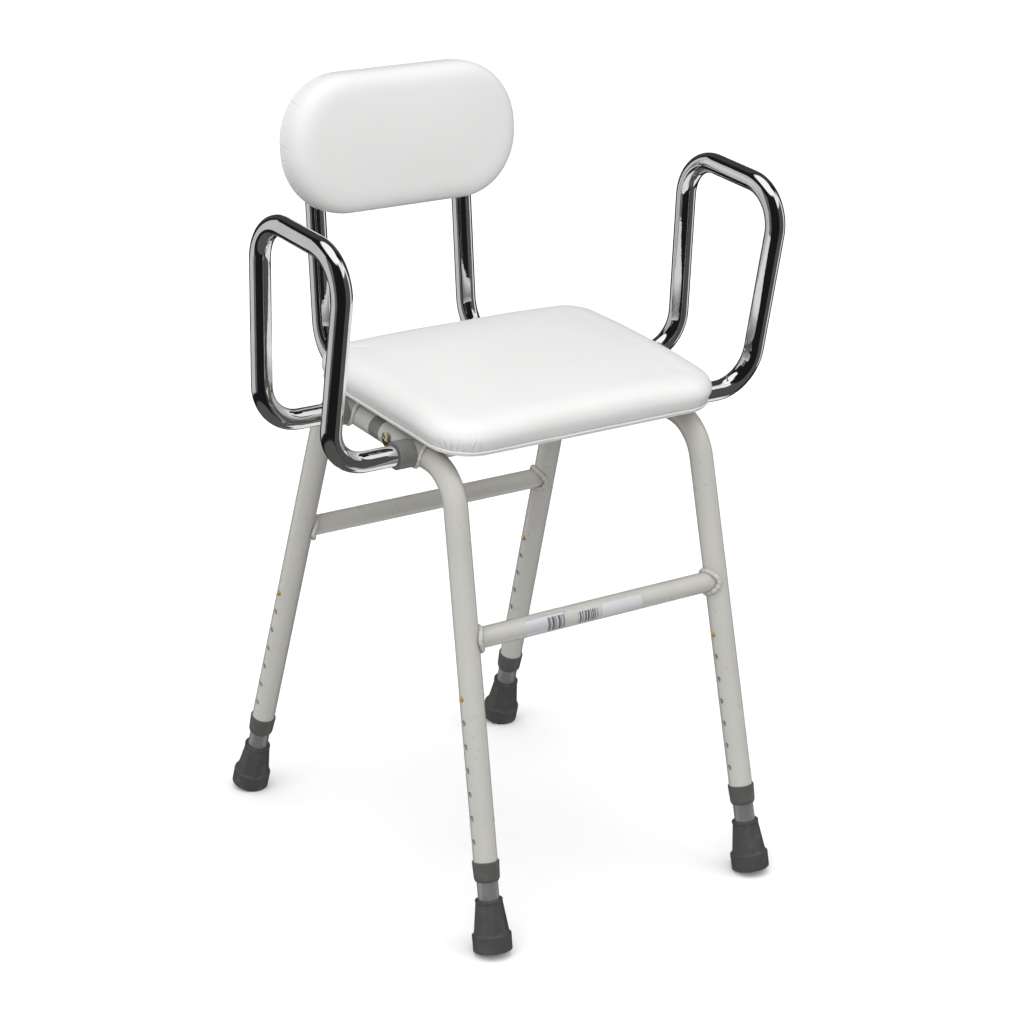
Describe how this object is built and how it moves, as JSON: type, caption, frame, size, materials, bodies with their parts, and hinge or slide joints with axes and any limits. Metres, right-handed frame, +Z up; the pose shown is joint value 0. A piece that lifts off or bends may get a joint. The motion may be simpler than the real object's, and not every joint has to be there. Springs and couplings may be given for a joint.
{
  "type": "shower chair",
  "caption": "Height-adjustable perching seat for the shower, with sloping padded seat, padded back and plug-in chrome arms.",
  "frame": {"origin": "on the floor below the middle of the stool's four feet", "axes": "+Z up, the stool faces -Y, +X is the sitter's left"},
  "size_m": [0.5776, 0.5193, 0.8259],
  "materials": {
    "frame_paint": "gloss warm grey powder coat",
    "chrome": "bright chrome plate",
    "zinc_plate": "satin zinc plate",
    "spring_steel": "dark spring steel",
    "brass": "worn brass",
    "gold_passivate": "yellow zinc passivate",
    "rubber": "matt grey moulded rubber",
    "grey_plastic": "satin dark grey moulding",
    "vinyl": "smooth off-white vinyl",
    "plywood": "bare plywood"
  },
  "bodies": {
    "frame": {"leg_tube_front_left": "frame_paint", "leg_collar_front_left": "grey_plastic", "leg_tube_front_right": "frame_paint", "leg_collar_front_right": "grey_plastic", "stretcher_front": "frame_paint", "cross_tube_front": "frame_paint", "arm_collars_front": "grey_plastic", "leg_tube_rear_left": "frame_paint", "leg_collar_rear_left": "grey_plastic", "leg_tube_rear_right": "frame_paint", "leg_collar_rear_right": "grey_plastic", "stretcher_rear": "frame_paint", "cross_tube_rear": "frame_paint", "arm_collars_rear": "grey_plastic", "backrest_socket_left": "frame_paint", "backrest_socket_right": "frame_paint", "rail_spigots": "zinc_plate", "rail_bushes": "grey_plastic", "rail_screws": "gold_passivate", "seat_board": "plywood", "seat_pad": "vinyl", "seat_screws": "zinc_plate", "backrest_clamp_screws": "zinc_plate"},
    "leg_front_left": {"leg_extension_front_left": "zinc_plate", "ferrule_front_left": "rubber", "ferrule_washer_front_left": "zinc_plate", "button_spring_front_left": "spring_steel"},
    "button_outer_front_left": {"button_outer_front_left": "brass"},
    "button_inner_front_left": {"button_inner_front_left": "brass"},
    "leg_front_right": {"leg_extension_front_right": "zinc_plate", "ferrule_front_right": "rubber", "ferrule_washer_front_right": "zinc_plate", "button_spring_front_right": "spring_steel"},
    "button_outer_front_right": {"button_outer_front_right": "brass"},
    "button_inner_front_right": {"button_inner_front_right": "brass"},
    "leg_rear_left": {"leg_extension_rear_left": "zinc_plate", "ferrule_rear_left": "rubber", "ferrule_washer_rear_left": "zinc_plate", "button_spring_rear_left": "spring_steel"},
    "button_outer_rear_left": {"button_outer_rear_left": "brass"},
    "button_inner_rear_left": {"button_inner_rear_left": "brass"},
    "leg_rear_right": {"leg_extension_rear_right": "zinc_plate", "ferrule_rear_right": "rubber", "ferrule_washer_rear_right": "zinc_plate", "button_spring_rear_right": "spring_steel"},
    "button_outer_rear_right": {"button_outer_rear_right": "brass"},
    "button_inner_rear_right": {"button_inner_rear_right": "brass"},
    "armrest_left": {"armrest_left": "chrome"},
    "armrest_right": {"armrest_right": "chrome"},
    "backrest": {"backrest_tube_left": "chrome", "backrest_tube_right": "chrome", "backrest_tube_plugs": "grey_plastic", "back_board": "plywood", "back_pad": "vinyl", "back_screws": "zinc_plate"}
  },
  "joints": [
    {"name": "leg_front_left_slide", "type": "slide", "parent": "frame", "child": "leg_front_left", "axis": [0.0302, -0.2272, -0.9734], "range_m": [0, 0.15]},
    {"name": "button_outer_front_left_press", "type": "slide", "parent": "leg_front_left", "child": "button_outer_front_left", "axis": [-0.9995, -0.0069, -0.0294], "range_m": [0, 0.0042], "stiffness_N_per_m": 1000, "springref_m": -0.002, "deforming": ["button_spring_front_left"]},
    {"name": "button_inner_front_left_press", "type": "slide", "parent": "leg_front_left", "child": "button_inner_front_left", "axis": [0.9995, 0.0069, 0.0294], "range_m": [0, 0.0042], "stiffness_N_per_m": 1000, "springref_m": -0.002, "deforming": ["button_spring_front_left"]},
    {"name": "leg_front_right_slide", "type": "slide", "parent": "frame", "child": "leg_front_right", "axis": [-0.0302, -0.2272, -0.9734], "range_m": [0, 0.15]},
    {"name": "button_outer_front_right_press", "type": "slide", "parent": "leg_front_right", "child": "button_outer_front_right", "axis": [0.9995, -0.0069, -0.0294], "range_m": [0, 0.0042], "stiffness_N_per_m": 1000, "springref_m": -0.002, "deforming": ["button_spring_front_right"]},
    {"name": "button_inner_front_right_press", "type": "slide", "parent": "leg_front_right", "child": "button_inner_front_right", "axis": [-0.9995, 0.0069, 0.0294], "range_m": [0, 0.0042], "stiffness_N_per_m": 1000, "springref_m": -0.002, "deforming": ["button_spring_front_right"]},
    {"name": "leg_rear_left_slide", "type": "slide", "parent": "frame", "child": "leg_rear_left", "axis": [0.0354, 0.2556, -0.9661], "range_m": [0, 0.15]},
    {"name": "button_outer_rear_left_press", "type": "slide", "parent": "leg_rear_left", "child": "button_outer_rear_left", "axis": [-0.9994, 0.0091, -0.0342], "range_m": [0, 0.0042], "stiffness_N_per_m": 1000, "springref_m": -0.002, "deforming": ["button_spring_rear_left"]},
    {"name": "button_inner_rear_left_press", "type": "slide", "parent": "leg_rear_left", "child": "button_inner_rear_left", "axis": [0.9994, -0.0091, 0.0342], "range_m": [0, 0.0042], "stiffness_N_per_m": 1000, "springref_m": -0.002, "deforming": ["button_spring_rear_left"]},
    {"name": "leg_rear_right_slide", "type": "slide", "parent": "frame", "child": "leg_rear_right", "axis": [-0.0354, 0.2556, -0.9661], "range_m": [0, 0.15]},
    {"name": "button_outer_rear_right_press", "type": "slide", "parent": "leg_rear_right", "child": "button_outer_rear_right", "axis": [0.9994, 0.0091, -0.0342], "range_m": [0, 0.0042], "stiffness_N_per_m": 1000, "springref_m": -0.002, "deforming": ["button_spring_rear_right"]},
    {"name": "button_inner_rear_right_press", "type": "slide", "parent": "leg_rear_right", "child": "button_inner_rear_right", "axis": [-0.9994, -0.0091, 0.0342], "range_m": [0, 0.0042], "stiffness_N_per_m": 1000, "springref_m": -0.002, "deforming": ["button_spring_rear_right"]},
    {"name": "armrest_left_slide", "type": "slide", "parent": "frame", "child": "armrest_left", "axis": [1, 0, 0], "range_m": [-0.02, 0.06]},
    {"name": "armrest_right_slide", "type": "slide", "parent": "frame", "child": "armrest_right", "axis": [-1, 0, 0], "range_m": [-0.02, 0.06]},
    {"name": "backrest_slide", "type": "slide", "parent": "frame", "child": "backrest", "axis": [0, 1, 0], "range_m": [0, 0.035]}
  ]
}
